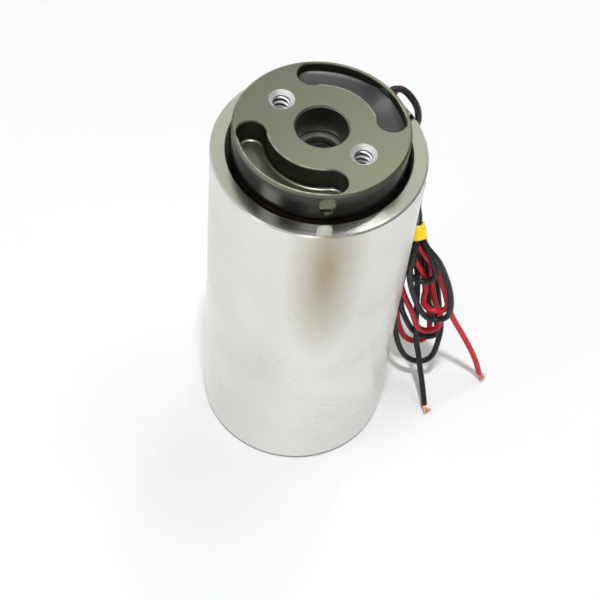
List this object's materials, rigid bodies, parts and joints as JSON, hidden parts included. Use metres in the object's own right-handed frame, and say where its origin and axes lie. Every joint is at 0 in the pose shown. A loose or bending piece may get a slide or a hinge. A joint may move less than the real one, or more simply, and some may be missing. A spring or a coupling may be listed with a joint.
{
  "type": "voice coil actuator",
  "caption": "Cylindrical voice coil actuator: nickel-plated tube with a magnet stack inside and a sliding coil whose black head carries the load; leads tied in a hank.",
  "frame": {"origin": "centre of the flat mounting face at the foot of the housing", "axes": "+Z along the coil's travel, outward; -Y toward the viewer of the picture, so the front slot of the holder lies close to -Y and the leads come out toward +X +Y"},
  "size_m": [0.0638, 0.04, 0.0864],
  "materials": {
    "nickel": "smooth bright nickel plating",
    "steel": "nickel-plated soft steel",
    "magnet": "nickel-coated sintered magnet",
    "sleeve_brass": "turned brass",
    "screw_steel": "stainless steel",
    "stop_rubber": "matt",
    "black_anodised": "black anodised, satin",
    "former_aluminium": "plain",
    "film": "amber polyimide film",
    "glass_epoxy": "glass-epoxy laminate",
    "copper": "enamelled copper wire",
    "potting": "cast black epoxy",
    "lead_black": "silicone insulation, satin",
    "lead_red": "silicone insulation, satin",
    "tape_yellow": "polyester tape",
    "strand_copper": "bare stranded copper"
  },
  "bodies": {
    "housing": {"housing_tube": "nickel", "base_plate": "steel", "magnet_1": "magnet", "magnet_2": "magnet", "middle_pole": "steel", "magnet_3": "magnet", "magnet_4": "magnet", "top_pole": "steel", "centering_sleeve": "sleeve_brass", "tie_screw": "screw_steel", "stop_washer": "stop_rubber"},
    "coil": {"coil_holder": "black_anodised", "coil_former": "former_aluminium", "insulation_film": "film", "lower_cheek": "glass_epoxy", "main_winding": "copper", "winding_spacer": "glass_epoxy", "upper_winding": "copper", "winding_wrap": "film", "potting_compound": "potting", "black_lead": "lead_black", "red_lead": "lead_red", "lead_hank": "lead_black", "hank_tape": "tape_yellow", "black_tip": "strand_copper", "red_tip": "strand_copper"}
  },
  "joints": [
    {"name": "coil_slide", "type": "slide", "parent": "housing", "child": "coil", "axis": [0, 0, 1], "range_m": [0, 0.0149]}
  ]
}
